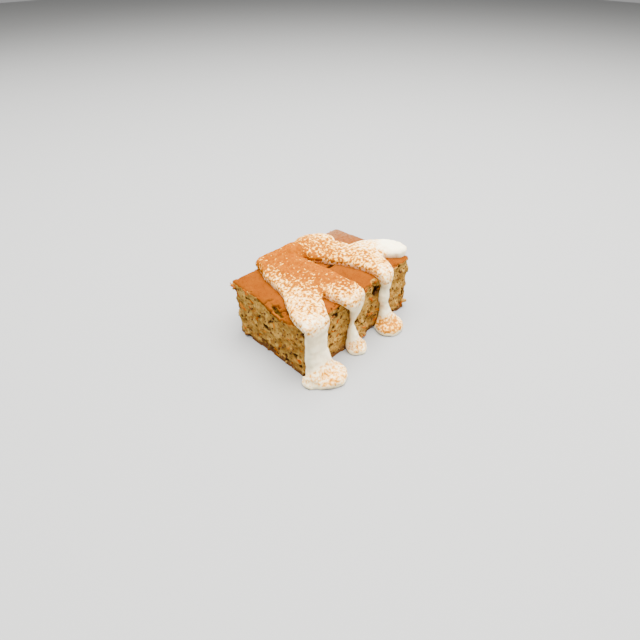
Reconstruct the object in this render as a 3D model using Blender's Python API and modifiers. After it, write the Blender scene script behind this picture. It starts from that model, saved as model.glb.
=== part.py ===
"""Slice of carrot cake under poured cream, in metres, +Z up.

The origin is on the flat underside of the cake, at its middle. +X runs along the slice and
-Y is the long cut face that three runs of cream flow down. Two solids are made: the crumb
with its browned top, and the cream, which lies over the top and stands in pools on the floor.
"""

import math
import random

import bmesh
import bpy
from mathutils import Matrix, Vector, noise

MM = 0.001

# Driving sizes of the slice, in millimetres.
LENGTH = 98.0
WIDTH = 62.0
HEIGHT = 38.5
CLEARANCE = 0.4

# The cake rose more towards its +X end: the share by which heights grow from one end to the other.
RISE = 0.055

# Corners of the hand-cut block, by the signs of X and Y, at the floor and at the top.
FLOOR_CORNERS = {
    (-1, -1): (-48.0, -31.0),
    (1, -1): (50.0, -31.0),
    (1, 1): (47.0, 31.0),
    (-1, 1): (-48.6, 30.6),
}
TOP_CORNERS = {
    (-1, -1): (-47.8, -31.0),
    (1, -1): (49.4, -29.8),
    (1, 1): (42.0, 30.4),
    (-1, 1): (-48.2, 35.0),
}
BELOW_FLOOR = 4.0
FLOOR_DEPTH = 20.0

# Crumb relief: how deep the crags go into the cut faces and into the crust.
CRUMB_GRID = 2.3
CRAG_DEPTH = 2.8
CRAG_SPACING = 5.5
CRAG_CONTRAST = 1.7
COARSE_SHARE = 0.7
CRUST_DEPTH = 0.5
CRUST_THICKNESS = 1.8
CRUST_SPACING = 14.0
SIDE_BULGE = 1.6
CRUMB_FACES_KEPT = 0.5
SEED = 7

# Places in the noise that the finer crags and the waves of the crust are read from.
FINE_OFFSET = Vector((9, 4, 2))
WAVE_OFFSET = Vector((3, 8, 5))

# The crust is torn and curls down over the short cut face round this Y.
CURL_MIDDLE_Y = -8.0
CURL_HALF_LENGTH = 11.0
CURL_REACH = 9.0
CURL_DROP = 4.8

# Open holes that show on the cut faces and in the crust: centre and the three half sizes.
HOLES = (
    ((13.2, -31.0, 30.5), (3.4, 2.6, 3.6)),
    ((-22.4, -31.0, 33.8), (3.4, 2.0, 1.5)),
    ((-3.8, -31.0, 21.4), (2.4, 1.8, 1.3)),
    ((-26.5, -31.0, 22.6), (1.4, 1.5, 1.2)),
    ((-47.8, 4.9, 19.2), (1.8, 2.6, 1.2)),
    ((-47.8, -28.0, 34.8), (1.6, 1.8, 1.3)),
    ((8.3, 2.8, 38.0), (2.2, 1.4, 1.2)),
    ((48.2, -20.0, 33.0), (2.0, 2.8, 2.0)),
)
PORES_EACH_FACE = 8
PORE_RADIUS = (0.9, 2.1)
PORE_STRETCH = (1.0, 1.6)
PORE_EDGE_GAP = 5.0

# Pieces that stand out of the crumb: root, tip and radius of each.
SHRED_TAPER = 0.25
SHREDS = (
    ((-44.5, 30.5, 36.4), (-48.8, 33.7, 35.2), 1.0),
    ((-45.5, 31.0, 34.0), (-47.6, 33.2, 32.2), 0.9),
    ((-45.5, 21.0, 3.6), (-49.4, 23.2, 2.2), 1.2),
    ((3.2, -28.0, 3.0), (4.6, -32.6, 2.4), 1.4),
    ((45.0, -29.0, 5.5), (49.2, -31.0, 4.6), 1.5),
    ((46.0, 6.0, 12.0), (49.6, 8.0, 11.2), 1.1),
    ((20.0, 29.0, 9.0), (21.2, 32.4, 8.2), 1.1),
)

# Cream runs: stations of x, y, z on the cake's surface, half width and thickness.
CORNER_RUN = (
    (-19.6, 30.6, HEIGHT, 9.0, 6.2),
    (-19.8, 25.0, HEIGHT, 11.2, 6.4),
    (-21.4, 15.0, HEIGHT, 12.8, 5.8),
    (-24.0, 5.0, HEIGHT, 11.6, 5.2),
    (-27.8, -5.5, HEIGHT, 10.4, 4.8),
    (-30.8, -13.0, HEIGHT, 10.8, 4.6),
    (-34.6, -19.0, HEIGHT, 10.8, 4.6),
    (-38.6, -26.0, HEIGHT, 9.9, 4.6),
    (-39.8, -31.0, HEIGHT - 1.0, 9.1, 4.5),
    (-39.6, -31.0, 30.0, 8.2, 4.2),
    (-39.6, -31.0, 22.0, 7.9, 4.0),
    (-39.2, -31.0, 14.0, 8.4, 4.6),
    (-38.9, -31.5, 8.0, 9.6, 6.2),
    (-39.2, -33.0, 4.0, 11.6, 8.4),
)
MIDDLE_RUN = (
    (-13.0, 24.0, HEIGHT, 9.5, 6.4),
    (-12.0, 12.0, HEIGHT, 9.0, 5.8),
    (-11.4, 2.0, HEIGHT, 9.8, 5.4),
    (-11.2, -7.0, HEIGHT, 11.0, 5.4),
    (-10.8, -15.0, HEIGHT, 10.8, 5.4),
    (-10.4, -22.0, HEIGHT, 10.2, 5.6),
    (-9.4, -28.0, HEIGHT, 9.4, 5.8),
    (-8.6, -31.0, HEIGHT - 1.0, 8.4, 5.6),
    (-6.8, -31.0, 34.0, 6.0, 4.6),
    (-6.4, -31.0, 30.4, 3.9, 4.0),
    (-7.8, -31.0, 26.0, 2.6, 3.2),
    (-9.4, -31.0, 21.5, 1.6, 2.6),
    (-9.4, -31.0, 17.0, 2.6, 3.1),
    (-8.8, -31.0, 12.0, 3.7, 4.0),
    (-8.2, -31.5, 7.0, 4.8, 5.2),
    (-7.8, -32.5, 3.5, 6.0, 6.4),
)
RIGHT_RUN = (
    (-18.5, 27.6, HEIGHT, 6.4, 7.4),
    (-8.0, 26.6, HEIGHT, 6.4, 7.6),
    (3.0, 24.6, HEIGHT, 9.6, 7.0),
    (10.4, 17.4, HEIGHT, 12.8, 6.0),
    (16.4, 6.4, HEIGHT, 11.4, 5.4),
    (21.0, -3.6, HEIGHT, 10.5, 4.9),
    (23.6, -14.0, HEIGHT, 9.8, 4.8),
    (23.4, -22.0, HEIGHT, 8.6, 4.8),
    (21.6, -28.0, HEIGHT, 6.8, 4.6),
    (20.8, -30.6, HEIGHT - 1.0, 5.7, 4.4),
    (21.4, -31.0, 33.0, 4.3, 4.0),
    (20.8, -31.0, 27.5, 3.3, 3.4),
    (20.0, -31.0, 23.5, 3.7, 3.8),
    (21.4, -31.0, 18.0, 3.2, 3.2),
    (22.4, -31.0, 11.0, 4.3, 4.0),
    (22.8, -31.5, 7.0, 5.6, 5.4),
    (23.2, -32.5, 3.8, 8.0, 7.6),
)
BACK_MOUND = (
    (6.0, 26.0, HEIGHT, 8.8, 6.8),
    (13.0, 24.8, HEIGHT, 9.0, 6.4),
    (19.6, 20.6, HEIGHT, 8.4, 6.0),
    (22.2, 17.8, HEIGHT, 6.8, 5.4),
)
END_LOBE = (
    (23.0, -3.0, HEIGHT, 9.6, 5.2),
    (31.0, -4.8, HEIGHT, 9.8, 5.0),
    (38.2, -9.2, HEIGHT, 9.6, 5.2),
    (43.6, -15.6, HEIGHT, 8.6, 5.2),
    (46.2, -22.6, HEIGHT, 7.0, 4.8),
)
LONG_BACK_RUN = (
    (-15.0, 26.0, HEIGHT, 6.8, 6.8),
    (-15.0, 31.8, HEIGHT - 1.0, 6.2, 5.4),
    (-15.5, 31.2, 30.0, 4.6, 4.0),
    (-15.9, 30.8, 22.0, 3.7, 3.5),
    (-16.0, 30.6, 17.0, 4.3, 4.0),
)
SHORT_BACK_RUN = (
    (7.0, 26.0, HEIGHT, 6.6, 7.4),
    (7.5, 31.2, HEIGHT - 1.0, 5.6, 5.4),
    (8.0, 31.0, 31.0, 4.3, 4.0),
    (8.2, 31.0, 27.0, 3.9, 3.8),
)
RUNS = (CORNER_RUN, MIDDLE_RUN, RIGHT_RUN, BACK_MOUND, END_LOBE, LONG_BACK_RUN, SHORT_BACK_RUN)

# Pools at the foot of the runs: x, y, the half sizes along X and Y, and the height.
POOLS = (
    (-45.6, -34.8, 7.3, 6.9, 4.6),
    (-41.0, -37.6, 8.2, 8.2, 5.4),
    (-35.8, -39.8, 10.6, 10.2, 6.2),
    (-7.4, -35.2, 7.0, 6.4, 5.2),
    (22.6, -37.6, 10.4, 8.6, 6.2),
)
BEAD_SPACING = 1.6
BEAD_FULLNESS = 0.76
BEAD_LIFT = 0.3
BEAD_REACH = 3.6
EDGE_ROLL = 4.0
CREAM_VOXEL = 0.8
CREAM_SMOOTHING = 7
CREAM_WAVES = 0.9
CREAM_WAVE_LENGTH = 11.0
CREAM_FACES_KEPT = 0.1


def clear_scene():
    """Removes whatever the open file holds, so that the script can run again."""
    for obj in list(bpy.data.objects):
        bpy.data.objects.remove(obj, do_unlink=True)


def collection(name):
    """A new collection in the scene."""
    made = bpy.data.collections.new(name)
    bpy.context.scene.collection.children.link(made)
    return made


def material(name, colour, roughness):
    """A plain Principled material."""
    made = bpy.data.materials.new(name)
    made.use_nodes = True
    shader = made.node_tree.nodes["Principled BSDF"]
    shader.inputs["Base Color"].default_value = (*colour, 1.0)
    shader.inputs["Roughness"].default_value = roughness
    shader.inputs["Metallic"].default_value = 0.0
    return made


def object_from(bm, name, home):
    """Puts a bmesh, worked in millimetres, into a named object in metres."""
    bmesh.ops.scale(bm, vec=(MM, MM, MM), verts=bm.verts)
    mesh = bpy.data.meshes.new(name)
    bm.to_mesh(mesh)
    bm.free()
    obj = bpy.data.objects.new(name, mesh)
    home.objects.link(obj)
    return obj


def as_cutter(obj):
    """Marks a helper that only cuts others."""
    obj.hide_render = True
    obj.display_type = "WIRE"
    return obj


def bake_modifiers(obj):
    """Replaces the object's mesh with what its modifiers make of it."""
    graph = bpy.context.evaluated_depsgraph_get()
    mesh = bpy.data.meshes.new_from_object(obj.evaluated_get(graph))
    obj.modifiers.clear()
    obj.data = mesh


def drop_scraps(mesh):
    """Keeps the largest body of the mesh, as a cut can leave a crumb of it hanging by a corner."""
    bm = bmesh.new()
    bm.from_mesh(mesh)
    left = set(bm.faces)
    bodies = []
    while left:
        body = set()
        edge_of_body = [left.pop()]
        while edge_of_body:
            face = edge_of_body.pop()
            body.add(face)
            beside = {f for edge in face.edges if len(edge.link_faces) == 2 for f in edge.link_faces}
            edge_of_body.extend(beside & left)
            left -= beside
        bodies.append(body)
    bodies.sort(key=len)
    scraps = [face for body in bodies[:-1] for face in body]
    bmesh.ops.delete(bm, geom=scraps, context="FACES")
    bm.to_mesh(mesh)
    bm.free()


def boolean(obj, operation, other):
    """Adds a Boolean with one object or with a collection of them."""
    modifier = obj.modifiers.new(operation.title(), "BOOLEAN")
    modifier.operation = operation
    if isinstance(other, bpy.types.Collection):
        modifier.operand_type = "COLLECTION"
        modifier.collection = other
    else:
        modifier.object = other
    return modifier


def remesh(obj, voxel):
    """Adds a voxel remesh with the cell size in millimetres."""
    modifier = obj.modifiers.new("Remesh", "REMESH")
    modifier.mode = "VOXEL"
    modifier.voxel_size = voxel * MM


def raised(x, z):
    """A height with the rise of the cake at that place along it."""
    return z * (1 + RISE * (x / LENGTH + 0.5))


def block(name, home, outset=0.0):
    """The hand-cut block of cake as six faces, grown outwards by outset, reaching below the floor."""
    bm = bmesh.new()
    bmesh.ops.create_cube(bm, size=2.0)
    for vert in bm.verts:
        side = (round(vert.co.x), round(vert.co.y))
        is_top = vert.co.z > 0
        x, y = (TOP_CORNERS if is_top else FLOOR_CORNERS)[side]
        vert.co.x = x + side[0] * outset
        vert.co.y = y + side[1] * outset
        vert.co.z = raised(x, HEIGHT) + outset if is_top else -BELOW_FLOOR
    return object_from(bm, name, home)


def floor_cutter(home):
    """A slab whose top is the floor, which gives what stands on it a flat foot."""
    bm = bmesh.new()
    bmesh.ops.create_cube(bm, size=1.0)
    bmesh.ops.scale(bm, vec=(LENGTH * 2, WIDTH * 3, FLOOR_DEPTH), verts=bm.verts)
    bmesh.ops.translate(bm, vec=(0, 0, -FLOOR_DEPTH / 2), verts=bm.verts)
    return as_cutter(object_from(bm, "floor_cutter", home))


def ease(value):
    """Smooth step from 0 to 1."""
    value = min(max(value, 0.0), 1.0)
    return value * value * (3 - 2 * value)


def crust_curl(point):
    """How far the crust drops near the torn edge over the short cut face."""
    from_face = point.x + LENGTH / 2
    near_face = 1 - ease(from_face / CURL_REACH)
    along = (point.y - CURL_MIDDLE_Y) / CURL_HALF_LENGTH
    return CURL_DROP * near_face * math.exp(-along * along) * ease((point.z - HEIGHT / 2) / (HEIGHT / 2))


def carve_crumb(mesh):
    """Roughens the faces inwards, so that nothing passes the cut planes that the cream lies on."""
    for vert in mesh.vertices:
        point = vert.co / MM
        normal = vert.normal.copy()
        if point.z < 0:
            continue
        is_side = ease(1 - abs(normal.z))
        coarse = noise.noise(point / CRAG_SPACING)
        fine = noise.noise(point / CRAG_SPACING * 2 + FINE_OFFSET)
        crag = ease(0.5 + 0.5 * CRAG_CONTRAST * (COARSE_SHARE * coarse + (1 - COARSE_SHARE) * fine))
        wave = 0.5 + 0.5 * noise.noise(point / CRUST_SPACING + WAVE_OFFSET)
        below_crust = ease((raised(point.x, HEIGHT) - point.z) / CRUST_THICKNESS - 1)
        depth = is_side * below_crust * CRAG_DEPTH * crag + CRUST_DEPTH * wave
        bulge = SIDE_BULGE * max(normal.x, 0.0) * math.sin(math.pi * min(point.z / HEIGHT, 1.0))
        point -= normal * (depth - bulge)
        point.z -= crust_curl(point)
        vert.co = point * MM


def ellipsoid(bm, centre, half_sizes, turn=None):
    """A small ball stretched to three half sizes."""
    place = Matrix.Translation(centre) @ (turn or Matrix.Identity(4))
    stretch = Matrix.Diagonal((*half_sizes, 1.0))
    bmesh.ops.create_icosphere(bm, subdivisions=1, radius=1.0, matrix=place @ stretch)


def random_pores(rng):
    """Pores spread over the four cut faces, away from the runs of cream."""
    half = (LENGTH / 2, WIDTH / 2)
    for axis, sign in ((0, -1), (0, 1), (1, -1), (1, 1)):
        reach = half[1 - axis] - PORE_EDGE_GAP
        for number in range(PORES_EACH_FACE):
            along = -reach + 2 * reach * (number + rng.random()) / PORES_EACH_FACE
            centre = Vector((0, 0, rng.uniform(PORE_EDGE_GAP, HEIGHT - PORE_EDGE_GAP)))
            centre[axis] = sign * half[axis]
            centre[1 - axis] = along
            radius = rng.uniform(*PORE_RADIUS)
            stretched = [radius * rng.uniform(*PORE_STRETCH) for _ in range(2)]
            yield centre, (*stretched, radius)


def hole_cutters(home):
    """One object for each hole and pore in the crumb."""
    rng = random.Random(SEED)
    for number, (centre, half_sizes) in enumerate((*HOLES, *random_pores(rng))):
        bm = bmesh.new()
        ellipsoid(bm, Vector(centre), half_sizes)
        as_cutter(object_from(bm, f"hole_{number}", home))


def shred_pieces(home):
    """Tapered shreds of carrot and flakes of crumb, rooted inside the cake."""
    for number, (root, tip, radius) in enumerate(SHREDS):
        root, tip = Vector(root), Vector(tip)
        length = (tip - root).length
        turn = (tip - root).to_track_quat("Z", "Y").to_matrix().to_4x4()
        bm = bmesh.new()
        bmesh.ops.create_cone(
            bm,
            cap_ends=True,
            segments=6,
            radius1=radius * (1 + SHRED_TAPER),
            radius2=radius * (1 - SHRED_TAPER),
            depth=length,
            matrix=Matrix.Translation((root + tip) / 2) @ turn,
        )
        as_cutter(object_from(bm, f"shred_{number}", home))


def make_cake(home, helpers, floor):
    """The crumb and its crust as one solid with a flat foot."""
    cake = block("cake", home)
    remesh(cake, CRUMB_GRID)
    bake_modifiers(cake)
    carve_crumb(cake.data)
    decimate = cake.modifiers.new("Decimate", "DECIMATE")
    decimate.ratio = CRUMB_FACES_KEPT
    for operation, pieces in (("DIFFERENCE", hole_cutters), ("UNION", shred_pieces)):
        group = bpy.data.collections.new(operation.lower())
        helpers.children.link(group)
        pieces(group)
        boolean(cake, operation, group)
        bake_modifiers(cake)
        drop_scraps(cake.data)
        for piece in list(group.objects):
            bpy.data.objects.remove(piece, do_unlink=True)
        bpy.data.collections.remove(group)
    boolean(cake, "DIFFERENCE", floor)
    cake.data.materials.clear()
    cake.data.materials.append(material("carrot crumb", (0.45, 0.27, 0.10), 0.85))
    return cake


def outward(point):
    """The direction away from the cake at a point on its surface, turning smoothly round its edges."""
    core = Vector(
        (
            min(max(point.x, EDGE_ROLL - LENGTH / 2), LENGTH / 2 - EDGE_ROLL),
            min(max(point.y, EDGE_ROLL - WIDTH / 2), WIDTH / 2 - EDGE_ROLL),
            min(point.z, raised(point.x, HEIGHT) - EDGE_ROLL),
        )
    )
    return (point - core).normalized()


def between(values, share):
    """A Catmull-Rom value at a share of the way between the second and third of four."""
    before, start, end, after = values
    slope = end - before
    bend = 2 * before - 5 * start + 4 * end - after
    twist = 3 * start - before - 3 * end + after
    return 0.5 * (2 * start + slope * share + bend * share**2 + twist * share**3)


def spline(stations):
    """Points a bead spacing apart on a smooth curve through the stations, with width and thickness."""
    ends = (stations[0], *stations, stations[-1])
    points = []
    for four in zip(ends, ends[1:], ends[2:], ends[3:]):
        gap = (Vector(four[2][:3]) - Vector(four[1][:3])).length
        steps = max(1, round(gap / BEAD_SPACING))
        for step in range(steps):
            points.append([between(values, step / steps) for values in zip(*four)])
    points.append(list(stations[-1]))
    return points


def bead_mesh():
    """A full-edged lens of radius 1, flat poles along Z, that every bead of cream is a copy of."""
    bm = bmesh.new()
    bmesh.ops.create_uvsphere(bm, u_segments=20, v_segments=10, radius=1.0)
    for vert in bm.verts:
        flat = math.hypot(vert.co.x, vert.co.y)
        swell = flat ** (BEAD_FULLNESS - 1) if flat > 0 else 0.0
        height = math.copysign(abs(vert.co.z) ** BEAD_FULLNESS, vert.co.z)
        vert.co = (vert.co.x * swell, vert.co.y * swell, height)
    mesh = bpy.data.meshes.new("bead")
    bm.to_mesh(mesh)
    bm.free()
    return mesh


def add_bead(bm, mesh, centre, half_sizes, up, along):
    """Adds one bead: half sizes across the flow, along it and up from the surface."""
    across = along.cross(up).normalized()
    turn = Matrix((across, up.cross(across), up)).transposed().to_4x4()
    place = Matrix.Translation(centre) @ turn @ Matrix.Diagonal((*half_sizes, 1.0))
    bm.from_mesh(mesh)
    bm.verts.ensure_lookup_table()
    bmesh.ops.transform(bm, matrix=place, verts=bm.verts[-len(mesh.vertices) :])


def pour(bm, lens, stations):
    """Lays beads of cream along one run."""
    points = spline(stations)
    for number, (x, y, z, half_width, thickness) in enumerate(points):
        before, after = points[max(number - 1, 0)], points[min(number + 1, len(points) - 1)]
        along = Vector(after[:3]) - Vector(before[:3])
        point = Vector((x, y, raised(x, z)))
        up = outward(point)
        half_sizes = (half_width, min(half_width, BEAD_REACH), thickness * (1 - BEAD_LIFT))
        add_bead(bm, lens, point + up * thickness * BEAD_LIFT, half_sizes, up, along)


def make_cream(home, helpers, floor):
    """All the cream as one solid: beads along each run and pool, melted together and cut to the cake."""
    bm = bmesh.new()
    lens = bead_mesh()
    for run in RUNS:
        pour(bm, lens, run)
    for x, y, half_x, half_y, height in POOLS:
        centre = Vector((x, y, height * BEAD_LIFT))
        half_sizes = (half_x, half_y, height * (1 - BEAD_LIFT))
        add_bead(bm, lens, centre, half_sizes, Vector((0, 0, 1)), Vector((0, 1, 0)))
    cream = object_from(bm, "cream", home)
    remesh(cream, CREAM_VOXEL)
    smooth = cream.modifiers.new("Smooth", "SMOOTH")
    smooth.factor = 0.5
    smooth.iterations = CREAM_SMOOTHING
    waves = bpy.data.textures.new("cream waves", "CLOUDS")
    waves.noise_scale = CREAM_WAVE_LENGTH * MM
    waves.noise_depth = 1
    displace = cream.modifiers.new("Waves", "DISPLACE")
    displace.texture = waves
    displace.strength = CREAM_WAVES * MM
    displace.mid_level = 0.5
    decimate = cream.modifiers.new("Decimate", "DECIMATE")
    decimate.ratio = CREAM_FACES_KEPT
    boolean(cream, "DIFFERENCE", as_cutter(block("cake_cutter", helpers, CLEARANCE)))
    boolean(cream, "DIFFERENCE", floor)
    cream.data.materials.append(material("whipped cream", (0.86, 0.83, 0.77), 0.5))
    return cream


def main():
    clear_scene()
    slice_parts = collection("carrot_cake_slice")
    helpers = collection("cutters")
    floor = floor_cutter(helpers)
    make_cake(slice_parts, helpers, floor)
    make_cream(slice_parts, helpers, floor)


main()
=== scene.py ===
"""Looks of the slice of carrot cake: crumb, crust, shreds of carrot, cream and its dusting of cinnamon.

Lengths are in metres; numbers named in millimetres are multiplied by MM.
"""

import math
import random

import bmesh
import bpy
import numpy as np
from mathutils import Matrix, Vector, noise


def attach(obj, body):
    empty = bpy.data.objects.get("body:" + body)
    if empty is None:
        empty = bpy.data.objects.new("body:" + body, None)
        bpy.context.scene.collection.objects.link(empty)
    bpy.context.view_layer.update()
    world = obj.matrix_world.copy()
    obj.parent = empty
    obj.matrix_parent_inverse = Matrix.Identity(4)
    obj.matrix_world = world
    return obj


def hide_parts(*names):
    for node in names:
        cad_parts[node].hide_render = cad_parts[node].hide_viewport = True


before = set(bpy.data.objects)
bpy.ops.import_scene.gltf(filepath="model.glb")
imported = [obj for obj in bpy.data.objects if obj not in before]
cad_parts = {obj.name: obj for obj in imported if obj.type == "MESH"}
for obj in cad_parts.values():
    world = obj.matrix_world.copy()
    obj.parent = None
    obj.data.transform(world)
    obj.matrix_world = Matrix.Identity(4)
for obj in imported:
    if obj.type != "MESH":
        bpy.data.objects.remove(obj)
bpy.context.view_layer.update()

MM = 0.001

# Sizes of the slice that the crust and the cream are placed by, in millimetres, as in the solids.
LENGTH = 98.0
WIDTH = 62.0
HEIGHT = 38.5
RISE = 0.055

# The crust that rolls down over the short cut face: middle, half length, reach and drop in millimetres.
CURL_MIDDLE_Y = -8.0
CURL_HALF_LENGTH = 11.0
CURL_REACH = 9.0
CURL_DROP = 4.8

# The crust's outline: how far its sides stand from the middle in millimetres, and how much two of them slant.
LEFT_SIDE = 48.0
RIGHT_SIDE = 50.0
FRONT_SIDE = 31.0
BACK_SIDE = 35.0
RIGHT_SLANT = 0.12
BACK_SLANT = 0.05

# How fine the meshes are, and how many rounds of smoothing take the solids' facets away.
CAKE_VOXEL = 0.62 * MM
CREAM_VOXEL = 0.55 * MM
CAKE_ROUNDS = 3
CREAM_ROUNDS = 10

# Colours, as the share of red, green and blue light that each gives back.
CRUMB_BROWN = (0.27, 0.124, 0.018)
CRUMB_TAN = (0.42, 0.236, 0.046)
CRUMB_PALE = (0.54, 0.335, 0.078)
CRUMB_TOASTED = (0.20, 0.066, 0.008)
# Painted shade: the crumb darkened inside its pores.
CRUMB_PORE_SHADE = (0.070, 0.026, 0.007)
CRUMB_LOW = (0.30, 0.120, 0.020)
CRUMB_SPECK = (0.055, 0.022, 0.012)
CRUMB_FOOT = (0.125, 0.050, 0.015)
# Painted shade: the crumb bared where the crust is torn, darkened as in a gap.
CRUMB_TEAR_SHADE = (0.055, 0.025, 0.003)
# Painted shade: the crumb darkened inside the hollows.
CRUMB_HOLLOW_SHADE = (0.044, 0.016, 0.004)
CRUMB_UNDER_CRUST = (0.33, 0.105, 0.008)
CRUST_DEEP = (0.132, 0.0305, 0.0012)
CRUST_WARM = (0.160, 0.0405, 0.0018)
# Painted sheen: a paler, pinker crust towards the far corner, standing in for a glancing sheen.
CRUST_FAR_CORNER_SHEEN = (0.172, 0.084, 0.040)
CRUST_GRAIN = (0.088, 0.0160, 0.0004)
CRUST_LIGHT = (0.168, 0.043, 0.0014)
# Painted light: a lighter crust on the rolled-down curl, whose slope faces down into shade.
CRUST_CURL_PAINTED_LIGHT = (0.24, 0.072, 0.005)
# Painted shade: the crust darkened inside its cracks and hollows.
CRUST_CRACK_SHADE = (0.030, 0.008, 0.002)
CREAM_SHADE = (0.97, 0.82, 0.52)
CREAM_WHITE = (0.97, 0.85, 0.58)
CREAM_VEILED = (0.85, 0.45, 0.09)
CREAM_ROUND_SPECK = (0.78, 0.34, 0.010)
CINNAMON_LIGHT = (0.250, 0.0635, 0.0)
CINNAMON_DARK = (0.197, 0.0450, 0.0)
CINNAMON_SPARSE = (0.31, 0.096, 0.0002)
CINNAMON_ON_POOLS = (0.46, 0.155, 0.004)
CARROT = ((0.32, 0.055, 0.0006), (0.40, 0.130, 0.002))
DARK_SPECK = ((0.035, 0.014, 0.008), (0.075, 0.03, 0.013))
BROWN_NUT = ((0.135, 0.054, 0.015), (0.080, 0.029, 0.007))
LOOSE_CRUMB = ((0.33, 0.19, 0.05), (0.20, 0.09, 0.018))
CINNAMON_GRAIN = ((0.25, 0.072, 0.0001), (0.19, 0.047, 0.0001))
FLOOR_GREY = (0.285, 0.285, 0.281)

# Places where the crust is torn away: x, y, the two half sizes in millimetres, turn in degrees and how much
# painted shade darkens the bared crumb there, from 0 to 1.
TORN = (
    (13.5, -30.0, 5.5, 3.4, 0, 0.3),
    (4.5, -31.5, 3.0, 1.6, 0, 0.3),
    (-45.2, -5.6, 1.5, 7.2, -5, 1.0),
    (-22.5, -31.5, 3.4, 1.4, 0, 0.3),
    (37.0, -31.0, 4.0, 1.5, 0, 0.3),
    (49.0, -24.0, 2.2, 4.0, 0, 0.3),
    (48.0, 6.0, 1.6, 6.0, 0, 0.3),
    (-30.0, 33.5, 6.0, 1.6, 0, 0.3),
    (30.0, 31.5, 5.0, 1.5, 0, 0.3),
)
TORN_DEPTH = 1.6

# How deep under the crust's top tears and cracks can lie.
CRUST_REACH = 4.0

# Cracks in the crust: points along each, in millimetres, and its width and depth.
CRACKS = (
    (((-47.6, 4.6), (-45.6, 3.4), (-44.0, 3.6), (-42.4, 2.2), (-41.0, 1.9)), 0.55, 1.3),
    (((-47.0, -1.6), (-45.0, -2.8), (-43.8, -2.2), (-42.6, -4.2), (-43.2, -6.0)), 0.8, 1.5),
    (((-44.6, -8.0), (-43.0, -9.2), (-42.4, -11.4), (-43.6, -13.0)), 0.7, 1.2),
    (((-20.0, -27.0), (-18.6, -28.6), (-19.4, -30.4)), 0.5, 1.0),
    (((4.0, 4.4), (6.0, 3.0), (8.4, 3.4), (10.0, 1.8)), 0.9, 1.6),
    (((33.0, -27.5), (35.0, -28.6), (37.0, -28.0)), 0.5, 0.9),
)

# Cinnamon on the cream: places in millimetres, each with the share of the cream that it covers there.
DUST_ON_TOP = (
    (-24, 32, 0.75), (-13, 32, 0.95), (-5, 31, 1.0), (-6, 22, 1.0), (4, 28, 0.64), (7, 23, 0.66),
    (-22, 23, 0.95), (-12, 18, 1.0),
    (-9, 6, 0.95), (-6, -6, 0.95), (-30, 16, 0.55), (-24, 8, 0.9), (-16, -1, 0.8), (-11, -13, 0.85),
    (-5, -24, 0.8), (-10, -25, 0.9), (-8, -28, 0.7), (-5, -33, 0.05), (-15, -33, 0.05),
    (-17, -22, 0.42), (-18, -28, 0.35), (-22, -10, 0.75), (-30, -1, 0.65),
    (-35, 8, 0.3), (-38, -6, 0.4), (-32, -12, 0.4), (-28, -20, 0.42), (-35, -24, 0.5), (-42, -20, 0.45),
    (-46, -27, 0.2), (-41, -33, 0.12), (-31, -31, 0.35), (8, 33, 0.58), (14, 28, 0.62), (22, 25, 0.3),
    (12, 18, 0.66), (2, 12, 0.68), (11, 4, 0.6), (20, 4, 0.52), (27, 1, 0.42), (18, -8, 0.55), (28, -8, 0.52),
    (18, -16, 0.52), (27, -18, 0.5), (17, -25, 0.42), (24, -26, 0.4), (36, -3, 0.12), (36, -14, 0.1),
    (44, -16, 0.0), (41, -24, 0.0), (20, -33, 0.15),
)
DUST_ON_POOLS = (
    (-38, -38, 0.42), (-31, -42, 0.3), (-40, -46, 0.35), (-47, -38, 0.15), (-52, -40, 0.1), (-34, -48, 0.25),
    (-32, -34, 0.12), (-9, -34, 0.15), (-11, -40, 0.3), (14, -38, 0.6), (22, -38, 0.75), (21, -45, 0.6),
    (12, -42, 0.5), (28, -37, 0.15),
)
DUST_REACH = 4.5

# How the dusting drifts from those places: how far and the size of the drift's waves, in millimetres, and the
# seed, without which each run would drift differently.
DRIFT = 2.5
DRIFT_WAVES = 6.0
DRIFT_SEED = 7

# Heights in millimetres between which the dusting on top comes in and that on the pools fades out.
DUST_FADE_ON_TOP = (33.5, 39.5)
DUST_FADE_ON_POOLS = (7.0, 12.0)

# Share of the dusting that is left where the cream meets the crust, and of the grains on the pools.
DUST_AT_EDGES = 0.45
GRAINS_ON_POOLS = 0.3

# Ripples of the cream: the height and size of each kind, in millimetres.
RIPPLES = ((0.55, 5.5), (0.28, 2.6), (0.10, 1.3))

# Folds of the cream's top: points along each, its half width and how high it stands, which is less than 0
# for a crease. They show above the given height.
FOLDS_ABOVE = 38.0
FOLDS = (
    (((5.8, 33.2), (1.2, 27.2), (-2.0, 21.3), (-5.1, 14.4)), 2.2, -1.3),
    (((-10.4, 12.0), (-9.9, 1.3), (-8.5, -6.3), (-7.2, -13.8)), 1.9, 0.7),
    (((-25.7, 20.2), (-24.9, 9.0), (-26.0, -1.5), (-25.4, -9.7)), 2.6, 0.6),
    (((-16.0, -0.4), (-13.7, -6.8), (-12.3, -13.2)), 1.6, 0.6),
    (((-38.5, -10.2), (-37.7, -18.0), (-36.9, -25.5)), 2.4, 0.5),
    (((7.3, 13.7), (12.0, 6.3), (15.6, -2.0)), 2.2, 0.5),
)

# Necks of the slim runs: middle and half width along the face, height, reach up and down, and how much
# they narrow.
NECKS = (
    (-9.4, 8.0, 22.0, 3.2, 0.30),
    (20.2, 9.0, 32.5, 3.4, 0.36),
)

# How far the cream is pressed on to the cake, in millimetres: down on to the crust, from how high up, on to
# the long cut face, less so where a slim run hangs, and on to the back face.
PRESSED_DOWN = 1.5
PRESSED_FROM = 3.2
PRESSED_ON_FACE = 2.4
PRESSED_SLIM = 1.2

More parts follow.
